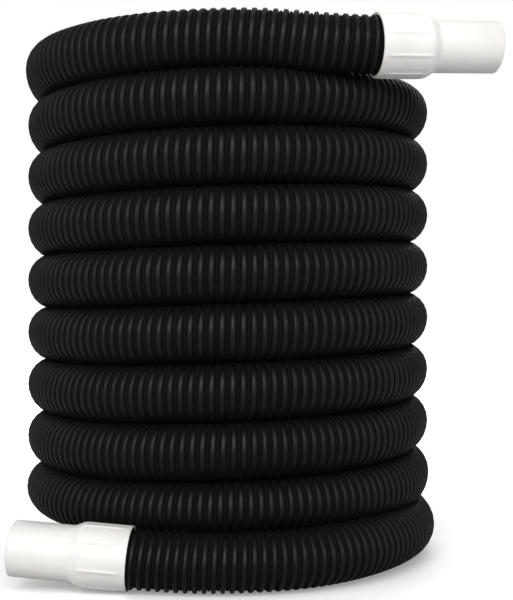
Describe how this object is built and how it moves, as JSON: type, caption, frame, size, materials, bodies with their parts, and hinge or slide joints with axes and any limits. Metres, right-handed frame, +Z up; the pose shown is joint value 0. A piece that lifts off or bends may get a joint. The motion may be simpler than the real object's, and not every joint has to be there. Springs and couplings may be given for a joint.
{
  "type": "pool vacuum hose",
  "caption": "Ribbed black pool vacuum hose in a standing coil of touching turns, with a white swivel cuff at the top end and a fixed white cuff at the floor end.",
  "frame": {"origin": "on the floor, under the middle of the whole hose's bounding box", "axes": "+Z up along the coil's axis, +Y towards the coil's back, +X towards the side that the upper, swivelling cuff points to"},
  "size_m": [0.4011, 0.3878, 0.4486],
  "materials": {
    "hose_black": "satin",
    "cuff_white": "satin",
    "seal_rubber": "matte"
  },
  "bodies": {
    "hose": {"hose_coil": "hose_black", "upper_hose_tail": "hose_black", "lower_hose_tail": "hose_black", "fixed_cuff": "cuff_white", "swivel_sleeve": "cuff_white"},
    "swivel_cuff": {"swivel_cuff_body": "cuff_white", "swivel_retaining_ring": "cuff_white", "swivel_seal": "seal_rubber"}
  },
  "joints": [
    {"name": "cuff_swivel", "type": "hinge", "parent": "hose", "child": "swivel_cuff", "pos_m": [0.098, -0.1366, 0.4209], "axis": [0.9776, 0.2078, 0.0349], "continuous": true}
  ]
}
